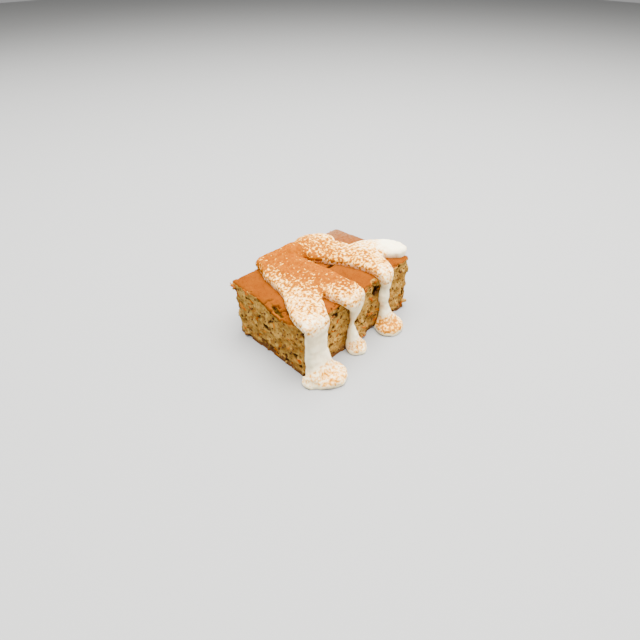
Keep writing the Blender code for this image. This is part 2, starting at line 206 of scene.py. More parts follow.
# Hollows in the cut faces and the crust: middle, which way in, half sizes across and up, and depth.
HOLLOWS = (
    ((-46.7, 4.3, 18.5), "x", 3.3, 2.0, 2.0),
    ((-46.9, -0.4, 25.5), "x", 1.2, 1.2, 1.2),
    ((-46.3, 4.2, 28.6), "x", 0.9, 0.8, 0.8),
    ((-46.8, 19.8, 31.6), "x", 1.3, 0.9, 1.0),
    ((-46.5, 27.0, 14.0), "x", 1.1, 1.0, 1.0),
    ((-46.5, 24.8, 12.0), "x", 1.1, 1.1, 1.0),
    ((-46.9, 13.2, 14.1), "x", 1.0, 1.1, 1.0),
    ((-46.9, 20.8, 6.4), "x", 1.7, 1.1, 1.1),
    ((-46.7, -8.7, 16.9), "x", 0.9, 1.0, 1.0),
    ((-46.7, -15.3, 20.2), "x", 0.8, 0.8, 0.9),
    ((-46.7, -12.9, 14.6), "x", 1.1, 0.8, 0.9),
    ((-46.5, -0.8, 17.4), "x", 1.1, 0.9, 0.9),
    ((-46.5, 8.0, 5.6), "x", 1.2, 0.8, 0.9),
    ((-46.5, 4.6, 4.4), "x", 1.6, 0.8, 0.9),
    ((-46.5, 13.0, 7.2), "x", 1.1, 0.7, 0.8),
    ((-46.5, -21.3, 12.8), "x", 1.6, 1.3, 1.2),
    ((-46.5, -13.6, 3.0), "x", 2.0, 1.1, 1.2),
    ((-47.0, -26.1, 6.5), "x", 1.3, 1.4, 1.2),
    ((-46.4, -29.0, 33.0), "x", 2.2, 1.7, 2.2),
    ((15.0, -28.8, 30.8), "y", 4.0, 4.4, 3.0),
    ((-20.4, -29.2, 31.6), "y", 2.4, 1.8, 2.8),
    ((-23.6, -29.2, 33.8), "y", 2.2, 1.5, 2.0),
    ((-2.0, -29.7, 16.2), "y", 2.4, 1.5, 2.4),
    ((-24.0, -30.2, 24.9), "y", 1.5, 1.1, 1.3),
    ((-26.5, -30.2, 12.0), "y", 1.5, 1.4, 1.4),
    ((-26.8, -29.4, 20.8), "y", 1.5, 1.3, 1.3),
    ((1.8, -29.9, 11.3), "y", 1.7, 1.1, 1.3),
    ((43.9, -29.8, 14.0), "y", 1.4, 3.4, 1.6),
    ((37.0, -29.4, 37.4), "y", 2.2, 1.8, 2.0),
    ((5.0, 0.6, 39.8), "z", 3.0, 1.7, 2.2),
    ((-24.4, -28.4, 38.7), "z", 0.9, 0.6, 0.7),
    ((-21.4, -28.2, 38.7), "z", 1.0, 0.6, 0.7),
)

# How far from its middle a hollow can reach, and how far out of the surface and into it, in millimetres.
HOLLOW_REACH = 9.0
HOLLOW_OUT = 3.5
HOLLOW_IN = 7.0
INWARDS = {"x": Vector((1, 0, 0)), "y": Vector((0, 1, 0)), "z": Vector((0, 0, -1))}

# Heights of the pores, the lumps between them and the crust's grain, in millimetres.
RELIEF = {"Pore Depth": 1.3, "Roughness": 0.9, "Crust Grain": 0.5}

# Bits strewn over the crumb and the cream: how many on a square metre, their smallest and largest size and
# how far they stand out of the surface, in millimetres, how far they tip over, and the seed.
STREWN = {
    "carrot_shreds": (9000.0, 2.0, 5.5, -0.1, 0.3, 2),
    "dark_specks": (52000.0, 0.5, 1.6, -0.2, 1.0, 9),
    "loose_crumbs": (150000.0, 0.4, 1.5, -0.1, 1.0, 4),
    "nut_bits": (9000.0, 1.4, 3.4, -0.1, 0.4, 12),
    "cinnamon_grains": (900000.0, 0.22, 0.5, 0.0, 0.5, 6),
}
TIP_SEED = 5

# Shreds of carrot that show on the cut faces: place, which way in, length and turn in degrees.
SHOWN_SHREDS = (
    ((-47.2, 24.8, 22.8), "x", 7.0, 27),
    ((-47.2, 11.1, 20.4), "x", 3.0, 70),
    ((-47.0, 5.1, 14.7), "x", 2.8, 10),
    ((-46.9, -16.5, 22.3), "x", 2.6, 5),
    ((-46.8, -9.5, 14.2), "x", 2.4, 60),
    ((-46.8, -8.1, 11.4), "x", 3.0, -40),
    ((-46.6, -4.0, 5.2), "x", 3.8, 25),
    ((-46.9, -5.6, 2.2), "x", 3.6, 10),
    ((-46.4, -26.2, 19.2), "x", 3.0, -25),
    ((-47.1, -25.1, 10.2), "x", 3.2, 30),
    ((-48.0, 31.6, 36.0), "x", 5.2, 20),
    ((-20.0, -29.9, 27.2), "y", 4.0, 60),
    ((-19.6, -29.9, 16.3), "y", 3.2, 30),
    ((10.2, -29.5, 25.8), "y", 6.4, -50),
    ((15.3, -30.4, 7.3), "y", 4.0, 10),
    ((4.4, -30.0, 36.6), "y", 4.4, 60),
    ((44.3, -30.4, 4.2), "y", 4.2, 70),
    ((42.6, -29.4, 9.7), "y", 2.6, 0),
    ((-0.8, -33.0, 2.6), "y", 3.8, 75),
)

# Larger bits of crumb that hang at the foot of the cut faces, given in the same way.
SHOWN_CRUMBS = (
    ((-47.6, 24.4, 1.8), "x", 3.6, -60),
    ((-48.0, 24.8, 0.9), "x", 2.4, 20),
    ((2.4, -30.6, 1.6), "y", 3.4, 40),
    ((-46.8, -13.0, 1.2), "x", 2.2, 10),
    ((30.0, -30.2, 1.4), "y", 2.4, 0),
)

# Bits of nut that show on the cut faces, given in the same way.
SHOWN_NUTS = (
    ((-46.9, 20.4, 6.9), "x", 3.2, 20),
    ((-47.0, 8.4, 5.4), "x", 2.8, 35),
    ((-47.0, 4.4, 4.3), "x", 3.2, 25),
    ((-47.0, 12.8, 7.3), "x", 2.4, 40),
    ((-47.1, -0.9, 17.4), "x", 2.4, 50),
    ((-46.9, 4.2, 29.2), "x", 1.8, 0),
    ((-47.1, -7.4, 8.9), "x", 2.2, 60),
    ((-47.1, -12.4, 14.8), "x", 1.9, 10),
    ((-47.1, 16.8, 25.6), "x", 2.2, 30),
    ((-24.0, -29.4, 32.4), "y", 3.4, 20),
    ((-22.6, -30.0, 22.0), "y", 2.3, 10),
    ((-26.0, -30.0, 19.6), "y", 2.4, 60),
    ((-24.6, -30.1, 12.6), "y", 2.6, 20),
    ((20.4, -29.9, 14.6), "y", 2.8, 70),
    ((12.8, -30.1, 9.4), "y", 2.4, 0),
    ((4.9, -30.1, 12.0), "y", 2.6, 30),
    ((45.2, -29.6, 10.0), "y", 2.8, 70),
    ((43.4, -29.8, 5.6), "y", 2.4, 60),
    ((45.4, -29.3, 16.0), "y", 2.6, 80),
    ((16.4, -28.3, 28.0), "y", 4.0, 60),
)

# The camera, fitted to the photo: place and aim in metres, focal length and sensor width in millimetres.
CAMERA_PLACE = (-0.1669, -0.1606, 0.1995)
CAMERA_AIM = (-0.02042, -0.01565, 0.020)
FOCAL_LENGTH = 25.3125
SENSOR_WIDTH = 36.0

# The studio's lights: name, place and size in metres, power in watts and colour. All look at one point.
LIGHTS = (
    ("overhead", (0.10, -0.01, 0.93), 0.9, 74.0, (1.0, 0.995, 0.98)),
    ("right", (0.75, -0.55, 0.7), 0.6, 10.0, (1.0, 0.98, 0.95)),
    ("back", (-0.3, 0.8, 0.6), 0.6, 7.0, (1.0, 1.0, 1.0)),
)
LIGHT_AIM = (0.0, 0.0, 0.02)
ROOM_LIGHT = 0.36


def ease(value):
    """Smooth step from 0 to 1."""
    value = min(max(value, 0.0), 1.0)
    return value * value * (3 - 2 * value)


def make(tree, kind, inputs=None, **settings):
    """Adds a node to a tree and sets its inputs, each to a value or to what another socket gives."""
    node = tree.nodes.new(kind)
    for name, value in settings.items():
        setattr(node, name, value)
    for key, value in (inputs or {}).items():
        socket = node.inputs[key]
        if isinstance(value, bpy.types.NodeSocket):
            tree.links.new(value, socket)
        else:
            socket.default_value = value
    return node


def maths(tree, operation, first, second=0.0, third=0.0):
    """One step of arithmetic on two numbers, or on three."""
    return make(tree, "ShaderNodeMath", {0: first, 1: second, 2: third}, operation=operation).outputs[0]


def ramp(tree, value, low, high, to_low=0.0, to_high=1.0):
    """Smoothly turns a range of a number into another range."""
    inputs = {"Value": value, "From Min": low, "From Max": high, "To Min": to_low, "To Max": to_high}
    return make(tree, "ShaderNodeMapRange", inputs, interpolation_type="SMOOTHSTEP").outputs["Result"]


def blotches(tree, place, size, detail=2.0, roughness=0.5):
    """Noise whose spots are about size millimetres across."""
    inputs = {"Vector": place, "Scale": 1 / (size * MM), "Detail": detail, "Roughness": roughness}
    return make(tree, "ShaderNodeTexNoise", inputs).outputs["Fac"]


def warped(tree, place, size, amount):
    """The place pushed about by noise, in millimetres."""
    inputs = {"Vector": place, "Scale": 1 / (size * MM), "Detail": 1.0}
    push = make(tree, "ShaderNodeTexNoise", inputs).outputs["Color"]
    centred = make(tree, "ShaderNodeVectorMath", {0: push, 1: (0.5, 0.5, 0.5)}, operation="SUBTRACT")
    sized = {0: centred.outputs[0], "Scale": amount * MM}
    moved = {0: place, 1: make(tree, "ShaderNodeVectorMath", sized, operation="SCALE").outputs[0]}
    return make(tree, "ShaderNodeVectorMath", moved, operation="ADD").outputs[0]


def pores(tree, place, spacing, share, radius):
    """Round pits, 1 in their middles: their spacing in millimetres, how many there are and their radius."""
    inputs = {"Vector": place, "Scale": 1 / (spacing * MM), "Randomness": 1.0}
    cells = make(tree, "ShaderNodeTexVoronoi", inputs, voronoi_dimensions="3D", feature="F1")
    pick = make(tree, "ShaderNodeSeparateXYZ", {0: cells.outputs["Color"]})
    size = ramp(tree, pick.outputs[0], 0.0, 1.0, radius * 0.5, radius)
    inside = maths(tree, "DIVIDE", cells.outputs["Distance"], size)
    pit = ramp(tree, inside, 1.0, 0.45)
    return maths(tree, "MULTIPLY", pit, maths(tree, "LESS_THAN", pick.outputs[1], share))


def crumb_pits(tree, place):
    """The open crumb: wide pores and fine ones, as how deep each place is from 0 to 1."""
    bent = warped(tree, place, 3.0, 1.6)
    wide = pores(tree, bent, 4.6, 0.62, 0.42)
    fine = maths(tree, "MULTIPLY", pores(tree, bent, 2.3, 0.6, 0.45), 0.55)
    opened = ramp(tree, blotches(tree, place, 11.0, 1.0), 0.42, 0.58, 0.3, 1.0)
    return maths(tree, "MULTIPLY", maths(tree, "MAXIMUM", wide, fine), opened)


def blank_material(name, roughness, specular=0.35):
    """A new material with its tree and its Principled shader."""
    made = bpy.data.materials.new(name)
    made.use_nodes = True
    tree = made.node_tree
    shader = tree.nodes["Principled BSDF"]
    shader.inputs["Roughness"].default_value = roughness
    shader.inputs["Specular IOR Level"].default_value = specular
    return made, tree, shader


def attribute(tree, name, output="Fac"):
    """What a named attribute of the mesh holds."""
    return make(tree, "ShaderNodeAttribute", attribute_name=name).outputs[output]


def mix(tree, share, first, second):
    """Two colours mixed by a share; each is a socket or three numbers."""
    inputs = {"Factor": share}
    node = make(tree, "ShaderNodeMix", inputs, data_type="RGBA")
    for socket, colour in ((node.inputs[6], first), (node.inputs[7], second)):
        if isinstance(colour, bpy.types.NodeSocket):
            tree.links.new(colour, socket)
        else:
            socket.default_value = (*colour, 1.0)
    return node.outputs[2]


def bump(tree, height, distance, strength=1.0, under=None):
    """Bumps of a height from 0 to 1 with a distance in millimetres."""
    inputs = {"Height": height, "Distance": distance * MM, "Strength": strength}
    if under:
        inputs["Normal"] = under
    return make(tree, "ShaderNodeBump", inputs).outputs["Normal"]


def cake_material():
    """Crumb with pores, dark specks and a browned foot, under a matt orange-brown crust."""
    made, tree, shader = blank_material("carrot_crumb_and_crust", 0.9, 0.01)
    place = attribute(tree, "rest", "Vector")
    bare = make(tree, "ShaderNodeTexCoord").outputs["Object"]
    height = make(tree, "ShaderNodeSeparateXYZ", {0: place}).outputs["Z"]

    pits = crumb_pits(tree, place)
    tone = blotches(tree, place, 9.0, 4.0, 0.6)
    crumb = mix(tree, ramp(tree, tone, 0.36, 0.64), CRUMB_BROWN, CRUMB_TAN)
    pale = ramp(tree, blotches(tree, place, 3.2, 3.0), 0.50, 0.66)
    crumb = mix(tree, maths(tree, "MULTIPLY", pale, 0.7), crumb, CRUMB_PALE)
    toasted = ramp(tree, blotches(tree, place, 2.7, 2.0), 0.54, 0.70, 0.0, 0.8)
    crumb = mix(tree, toasted, crumb, CRUMB_TOASTED)
    # Painted shade: the crumb is darkened in its pores, where the relief also sinks it.
    crumb = mix(tree, maths(tree, "MULTIPLY", pits, 0.9), crumb, CRUMB_PORE_SHADE)
    lower = ramp(tree, height, 0.020, 0.002, 0.0, 0.15)
    crumb = mix(tree, lower, crumb, CRUMB_LOW)
    specks = pores(tree, warped(tree, place, 1.5, 0.8), 3.4, 0.22, 0.26)
    crumb = mix(tree, maths(tree, "MULTIPLY", specks, 0.9), crumb, CRUMB_SPECK)
    ragged = maths(tree, "MULTIPLY", blotches(tree, place, 4.0, 3.0), 0.0055)
    foot = ramp(tree, maths(tree, "SUBTRACT", height, ragged), 0.0018, -0.0012)
    crumb = mix(tree, foot, crumb, CRUMB_FOOT)
    # Painted shade in the torn gaps, as strong as each torn place's share of shade.
    crumb = mix(tree, attribute(tree, "torn"), crumb, CRUMB_TEAR_SHADE)
    # Painted shade inside the hollows of the cut faces.
    crumb = mix(tree, attribute(tree, "hollow"), crumb, CRUMB_HOLLOW_SHADE)

    crust = mix(tree, ramp(tree, blotches(tree, place, 16.0, 3.0), 0.35, 0.65), CRUST_DEEP, CRUST_WARM)
    # Painted sheen: the crust turns paler towards its far back corner, where light glances off it.
    far_corner_sheen = make(tree, "ShaderNodeVectorMath", {0: place, 1: (1.0, 1.0, 0.0)}, operation="DOT_PRODUCT")
    far_corner_sheen = ramp(tree, far_corner_sheen.outputs["Value"], 0.030, 0.070, 0.0, 0.9)
    crust = mix(tree, far_corner_sheen, crust, CRUST_FAR_CORNER_SHEEN)
    grain = blotches(tree, bare, 1.7, 4.0, 0.75)
    crust = mix(tree, ramp(tree, grain, 0.47, 0.66, 0.0, 0.6), crust, CRUST_GRAIN)
    light = ramp(tree, blotches(tree, bare, 3.4, 3.0, 0.6), 0.52, 0.68, 0.0, 0.4)
    crust = mix(tree, light, crust, CRUST_LIGHT)
    # Painted light: the crust on the rolled-down curl is lightened against the shade on its slope.
    crust = mix(tree, maths(tree, "MULTIPLY", attribute(tree, "rolled"), 0.7), crust, CRUST_CURL_PAINTED_LIGHT)
    # Painted shade: the crust is darkened inside its cracks and hollows.
    dark = maths(tree, "MAXIMUM", attribute(tree, "crack"), attribute(tree, "hollow"))
    crust = mix(tree, dark, crust, CRUST_CRACK_SHADE)
    edge = maths(tree, "MULTIPLY", maths(tree, "SUBTRACT", blotches(tree, place, 2.2, 3.0), 0.5), 2.6)
    depth = maths(tree, "ADD", attribute(tree, "under"), edge)
    share = ramp(tree, depth, 1.75, 1.35)
    browned = ramp(tree, depth, 3.0, 1.6, 0.0, 0.4)
    crumb = mix(tree, browned, crumb, CRUMB_UNDER_CRUST)
    tree.links.new(mix(tree, share, crumb, crust), shader.inputs["Base Color"])

    rough = blotches(tree, bare, 0.7, 3.0, 0.7)
    crumb_height = maths(tree, "SUBTRACT", maths(tree, "MULTIPLY", rough, 0.5), pits)
    tree.links.new(bump(tree, crumb_height, 0.7, 0.8), shader.inputs["Normal"])
    shader.inputs["Subsurface Weight"].default_value = 0.08
    shader.inputs["Subsurface Radius"].default_value = (0.003, 0.0016, 0.0006)
    return made


def cream_material():
    """Whipped cream with cinnamon that lies on it in specks, closing up where it is thick."""
    made, tree, shader = blank_material("whipped_cream_with_cinnamon", 0.5, 0.0)
    place = make(tree, "ShaderNodeTexCoord").outputs["Object"]
    dust = attribute(tree, "dust")
    level = maths(tree, "MULTIPLY", blotches(tree, place, 1.65, 1.0, 0.5), 0.72)
    level = maths(tree, "MULTIPLY_ADD", blotches(tree, place, 0.7, 1.0), 0.14, level)
    level = maths(tree, "MULTIPLY_ADD", blotches(tree, place, 4.5, 1.0), 0.14, level)
    edge = maths(tree, "MULTIPLY_ADD", dust, -0.40, 0.69)
    above = maths(tree, "SUBTRACT", level, edge)
    sure = ramp(tree, dust, 0.02, 0.10)
    dots = pores(tree, warped(tree, place, 1.4, 0.7), 1.6, maths(tree, "MULTIPLY", dust, 0.7), 0.42)
    cover = maths(tree, "MULTIPLY", maths(tree, "MAXIMUM", ramp(tree, above, -0.04, 0.08), dots), sure)
    halo = maths(tree, "MULTIPLY", ramp(tree, above, -0.24, 0.0, 0.0, 0.92), sure)
    cream = mix(tree, ramp(tree, blotches(tree, place, 12.0), 0.4, 0.6), CREAM_SHADE, CREAM_WHITE)
    cream = mix(tree, maths(tree, "MULTIPLY", dust, 0.3), cream, CREAM_VEILED)
    cream = mix(tree, halo, cream, CREAM_ROUND_SPECK)
    tone = ramp(tree, blotches(tree, place, 2.0, 3.0), 0.4, 0.62)
    tint = mix(tree, tone, CINNAMON_LIGHT, CINNAMON_DARK)
    tint = mix(tree, ramp(tree, dust, 0.85, 0.3, 0.0, 0.85), tint, CINNAMON_SPARSE)
    height = make(tree, "ShaderNodeSeparateXYZ", {0: place}).outputs["Z"]
    tint = mix(tree, ramp(tree, height, 0.020, 0.008, 0.0, 0.75), tint, CINNAMON_ON_POOLS)
    tree.links.new(mix(tree, cover, cream, tint), shader.inputs["Base Color"])
    tree.links.new(ramp(tree, cover, 0.0, 1.0, 0.40, 0.8), shader.inputs["Roughness"])
    powder = maths(tree, "MULTIPLY", cover, blotches(tree, place, 0.6, 2.0))
    soft = bump(tree, blotches(tree, place, 5.0, 2.0), 0.35, 0.5)
    tree.links.new(bump(tree, powder, 0.25, 0.8, soft), shader.inputs["Normal"])
    shader.inputs["Subsurface Weight"].default_value = 0.25
    shader.inputs["Subsurface Radius"].default_value = (0.004, 0.003, 0.002)
    return made


def plain_material(name, tones, size, roughness):
    """A small bit's material: two tones in blotches of a size in millimetres, with fine bumps."""
    made, tree, shader = blank_material(name, roughness, 0.02)
    place = make(tree, "ShaderNodeTexCoord").outputs["Object"]
    blotched = mix(tree, ramp(tree, blotches(tree, place, size), 0.38, 0.62), *tones)
    tree.links.new(blotched, shader.inputs["Base Color"])
    tree.links.new(bump(tree, blotches(tree, place, size / 2), 0.15, 0.6), shader.inputs["Normal"])
    return made


def floor_material():
    """Pale matt floor."""
    made, _, shader = blank_material("studio_floor", 0.75, 0.2)
    shader.inputs["Base Color"].default_value = (*FLOOR_GREY, 1.0)
    return made


def raised_top(x):
    """Height of the cake's top at a place along it, in millimetres."""
    return HEIGHT * (1 + RISE * (x / LENGTH + 0.5))


def inside_rim(x, y):
    """How far inside the crust's outline a place is, seen from above, in millimetres."""
    left, front = x + LEFT_SIDE, y + FRONT_SIDE
    right = RIGHT_SIDE - RIGHT_SLANT * front - x
    back = BACK_SIDE - BACK_SLANT * left - y
    return min(left, right, front, back)


def curl(x, y):
    """How far the crust drops by the torn edge over the short cut face, in millimetres."""
    near_face = 1 - ease((x + LENGTH / 2) / CURL_REACH)
    along = (y - CURL_MIDDLE_Y) / CURL_HALF_LENGTH
    return CURL_DROP * near_face * math.exp(-along * along)


def merged_copy(name, node):
    """A new object with the node's solid as one joined mesh."""
    bm = bmesh.new()
    bm.from_mesh(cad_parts[node].data)
    bmesh.ops.remove_doubles(bm, verts=bm.verts, dist=1e-6)
    mesh = bpy.data.meshes.new(name)
    bm.to_mesh(mesh)
    bm.free()
    piece = bpy.data.objects.new(name, mesh)
    bpy.context.scene.collection.objects.link(piece)
    return piece


def bake(piece):
    """Replaces the piece's mesh with what its modifiers make of it."""
    graph = bpy.context.evaluated_depsgraph_get()
    mesh = bpy.data.meshes.new_from_object(piece.evaluated_get(graph))
    piece.modifiers.clear()
    old = piece.data
    piece.data = mesh
    bpy.data.meshes.remove(old)


def refine(piece, voxel, rounds):
    """Gives the piece an even fine mesh and smooths the solid's facets away."""
    remesh = piece.modifiers.new("Remesh", "REMESH")
    remesh.mode = "VOXEL"
    remesh.voxel_size = voxel
    smooth = piece.modifiers.new("Smooth", "SMOOTH")
    smooth.factor = 0.5
    smooth.iterations = rounds
    bake(piece)


def store(mesh, name, values, kind="FLOAT"):
    """Keeps a number or a vector for each vertex as a named attribute."""
    layer = mesh.attributes.new(name, kind, "POINT")
    if kind == "FLOAT":
        layer.data.foreach_set("value", values)
    else:
        layer.data.foreach_set("vector", [part for value in values for part in value])


def surface_points(mesh):
    """Every vertex's place in millimetres with its normal, read once before any of them moves."""
    return [(vert.co / MM, vert.normal.copy()) for vert in mesh.vertices]


def move_to(mesh, places):
    """Puts the vertices at these places, in millimetres."""
    mesh.vertices.foreach_set("co", [part * MM for place in places for part in place])
    mesh.update()


def line_gap(x, y, points):
    """Distance from a place to a line of points, seen from above."""
    here = Vector((x, y))
    best = 1e9
    for start, end in zip(points, points[1:]):
        start, end = Vector(start), Vector(end)
        run = end - start
        share = min(max((here - start).dot(run) / run.length_squared, 0.0), 1.0)
        best = min(best, (here - start - run * share).length)
    return best


def torn_share(x, y, spot):
    """How far inside a torn place's ellipse a place is: 1 in its middle and 0 outside."""
    middle_x, middle_y, half_x, half_y, degrees, _ = spot
    turn = math.radians(degrees)
    dx, dy = x - middle_x, y - middle_y
    u = dx * math.cos(turn) + dy * math.sin(turn)
    v = dy * math.cos(turn) - dx * math.sin(turn)
    return max(0.0, 1 - math.hypot(u / half_x, v / half_y))


def hollowed(place):
    """How the first hollow that holds a place pushes it, and how far inside it the place is, from 0 to 1."""
    for middle, way, across, up, deep in HOLLOWS:
        gap = place - Vector(middle)
        if gap.length > HOLLOW_REACH:
            continue
        inwards = INWARDS[way]
        side = gap.y if way == "x" else gap.x
        rise = gap.y if way == "z" else gap.z
        if not -HOLLOW_OUT < gap.dot(inwards) < HOLLOW_IN:
            continue
        wobble = 0.35 * noise.noise(place / 1.5)
        inside = 1 - math.hypot(side / across, rise / up) + wobble
        if inside > 0:
            return inwards * deep * ease(inside * 1.6), ease(inside * 5)
    return Vector(), 0.0


def cut_cracks(place, x, y, share):
    """Lowers a place by the cracks that pass it, and gives how far open they are there from 0 to 1."""
    opened = 0.0
    for points, width, deep in CRACKS:
        gap = line_gap(x, y, points)
        if gap < width:
            inside = ease(1 - gap / width)
            opened = max(opened, inside)
            place.z -= deep * inside * share
    return opened


def shape_crust(piece):
    """Carves hollows, torn places and cracks, roughens the rim, and stores what the materials need."""
    mesh = piece.data
    rest, moved = [], []
    marks = {"under": [], "crack": [], "hollow": [], "torn": [], "rolled": []}
    for place, normal in surface_points(mesh):
        x, y, z = place
        rest.append(place * MM)
        push, dark = hollowed(place)
        place = place + push
        rolled = curl(x, y) / CURL_DROP
        depth = raised_top(x) - curl(x, y) - z
        opened, torn, shade = 0.0, 0.0, 0.0
        if depth < CRUST_REACH:
            bend = noise.noise(place / 2.6) + noise.noise(place / 0.9) * 0.5
            torn, shade = max((torn_share(x + bend, y + bend, spot), spot[5]) for spot in TORN)
            torn = ease(torn * 2.2)
            near_top = ease(1.6 - depth / 2.5)
            opened = cut_cracks(place, x + bend * 0.5, y - bend * 0.5, near_top)
            lumps = 0.7 + 0.6 * noise.noise(Vector((x, y, z)) / 1.6)
            place -= normal * TORN_DEPTH * torn * near_top * lumps
            ragged = 0.9 + 2.4 * noise.noise(place / 3.4) + 1.4 * noise.noise(place / 1.3) - 2.0 * rolled
            depth -= 2.0 * rolled
            chipped = ragged - inside_rim(x, y)
            if chipped > 0:
                place.z -= 0.3 * chipped * near_top
                depth += 1.3 * chipped
            depth += torn * 4
        moved.append(place)
        marks["under"].append(depth)
        marks["crack"].append(opened)
        # The hollow mark holds painted shade: how far inside a hollow the place is.
        marks["hollow"].append(dark)
        # The torn mark holds painted shade: how far the bared crumb is darkened.
        marks["torn"].append(ease(torn * 2.5) * shade)
        marks["rolled"].append(rolled)
    move_to(mesh, moved)
    store(mesh, "rest", rest, "FLOAT_VECTOR")
    for name, values in marks.items():
        store(mesh, name, values)


def new_tree(name, sockets):
    """A geometry nodes tree with a geometry and other named inputs, and the node that gives them."""
    tree = bpy.data.node_groups.new(name, "GeometryNodeTree")
    for label, kind in (("Geometry", "Geometry"), *sockets):
        tree.interface.new_socket(label, in_out="INPUT", socket_type="NodeSocket" + kind)
    tree.interface.new_socket("Geometry", in_out="OUTPUT", socket_type="NodeSocketGeometry")
    return tree, make(tree, "NodeGroupInput")


def stored(tree, name, kind="FLOAT"):
    """A named attribute, as geometry nodes read it."""
    return make(tree, "GeometryNodeInputNamedAttribute", {"Name": name}, data_type=kind).outputs[0]


def end_tree(tree, geometry, material):
    """Gives a tree's geometry its material and hands it over."""
    painted = make(tree, "GeometryNodeSetMaterial", {"Geometry": geometry, "Material": material})
    make(tree, "NodeGroupOutput", {0: painted.outputs[0]})


def relief_tree():
    """Geometry nodes that push the pores of the crumb and the grain of the crust into the mesh."""
    floats = [(label, "Float") for label in ("Pore Depth", "Roughness", "Crust Grain")]
    tree, start = new_tree("crumb relief", [*floats, ("Material", "Material")])
    place = stored(tree, "rest", "FLOAT_VECTOR")
    under = stored(tree, "under")
    height = make(tree, "ShaderNodeSeparateXYZ", {0: place}).outputs["Z"]
    is_crumb = maths(tree, "MULTIPLY", ramp(tree, under, 1.2, 2.4), ramp(tree, height, 0.0004, 0.0016))
    pits = maths(tree, "MULTIPLY", crumb_pits(tree, place), start.outputs["Pore Depth"])
    lumps = maths(tree, "SUBTRACT", blotches(tree, place, 1.5, 2.0, 0.6), 0.5)
    lumps = maths(tree, "MULTIPLY", lumps, start.outputs["Roughness"])
    crumb = maths(tree, "MULTIPLY", maths(tree, "SUBTRACT", lumps, pits), is_crumb)
    grain = maths(tree, "SUBTRACT", blotches(tree, place, 2.2, 3.0, 0.7), 0.5)
    grain = maths(tree, "MULTIPLY", grain, start.outputs["Crust Grain"])
    on_top = maths(tree, "MULTIPLY", grain, ramp(tree, under, 2.0, 0.8))
    push = maths(tree, "MULTIPLY", maths(tree, "ADD", crumb, on_top), MM)
    normal = make(tree, "GeometryNodeInputNormal").outputs[0]
    offset = make(tree, "ShaderNodeVectorMath", {0: normal, "Scale": push}, operation="SCALE").outputs[0]
    moved = make(tree, "GeometryNodeSetPosition", {"Geometry": start.outputs[0], "Offset": offset})
    end_tree(tree, moved.outputs[0], start.outputs["Material"])
    return tree


def scatter_tree():
    """Geometry nodes that strew copies of a shape over a surface where a named attribute says."""
    floats = [(label, "Float") for label in ("Density", "Smallest", "Largest", "Lift", "Tilt")]
    others = [("Where", "String"), ("Seed", "Int"), ("Material", "Material")]
    tree, start = new_tree("strewn bits", [("Shape", "Object"), *floats, *others])
    seed = start.outputs["Seed"]
    where = stored(tree, start.outputs["Where"])
    density = maths(tree, "MULTIPLY", start.outputs["Density"], where)
    points = make(
        tree,
        "GeometryNodeDistributePointsOnFaces",
        {"Mesh": start.outputs[0], "Density": density, "Seed": seed},
        distribute_method="RANDOM",
    )
    spin = make(
        tree,
        "FunctionNodeRandomValue",
        {"Min": (0.0, 0.0, 0.0), "Max": (0.0, 0.0, math.tau), "Seed": seed},
        data_type="FLOAT_VECTOR",
    )
    tip = make(tree, "FunctionNodeRandomValue", {2: -1.0, 3: 1.0, "Seed": TIP_SEED}, data_type="FLOAT")
    tipped = maths(tree, "MULTIPLY", tip.outputs[1], start.outputs["Tilt"])
    lean = make(tree, "ShaderNodeCombineXYZ", {"Y": tipped}).outputs[0]
    turned = points.outputs["Rotation"]
    for turn in (spin.outputs[0], lean):
        step = {0: turned, 1: turn}
        turned = make(tree, "FunctionNodeRotateEuler", step, rotation_type="EULER", space="LOCAL").outputs[0]
    size = make(
        tree,
        "FunctionNodeRandomValue",
        {2: start.outputs["Smallest"], 3: start.outputs["Largest"], "Seed": seed},
        data_type="FLOAT",
    )
    shape = make(tree, "GeometryNodeObjectInfo", {"Object": start.outputs["Shape"]})
    lift = {0: points.outputs["Normal"], "Scale": start.outputs["Lift"]}
    offset = make(tree, "ShaderNodeVectorMath", lift, operation="SCALE").outputs[0]
    placed = make(tree, "GeometryNodeSetPosition", {"Geometry": points.outputs[0], "Offset": offset})
    copies = make(
        tree,
        "GeometryNodeInstanceOnPoints",
        {
            "Points": placed.outputs[0],
            "Instance": shape.outputs["Geometry"],
            "Rotation": turned,
            "Scale": size.outputs[1],
        },
    )
    real = make(tree, "GeometryNodeRealizeInstances", {0: copies.outputs[0]})
    end_tree(tree, real.outputs[0], start.outputs["Material"])
    return tree


def set_inputs(modifier, values):
    """Sets a modifier's inputs by their identifiers, found from their names."""
    for item in modifier.node_group.interface.items_tree:
        if item.in_out == "INPUT" and item.name in values:
            modifier[item.identifier] = values[item.name]


def strew(name, tree, surface, where, shape, look):
    """A new piece that holds only the bits that a scatter tree strews over a surface."""
    density, smallest, largest, lift, tilt, seed = STREWN[name]
    piece = bpy.data.objects.new(name, surface.data.copy())
    bpy.context.scene.collection.objects.link(piece)
    modifier = piece.modifiers.new("Scatter", "NODES")
    modifier.node_group = tree
    values = {
        "Shape": shape,
        "Density": density,
        "Smallest": smallest * MM,
        "Largest": largest * MM,
        "Lift": lift * MM,
        "Tilt": tilt,
        "Where": where,
        "Seed": seed,
        "Material": look,
    }
    set_inputs(modifier, values)
    bake(piece)
    return piece


def helper(name, bm):
    """A shape that is only copied, kept out of the scene."""
    mesh = bpy.data.meshes.new(name)
    bm.to_mesh(mesh)
    bm.free()
    return bpy.data.objects.new(name, mesh)


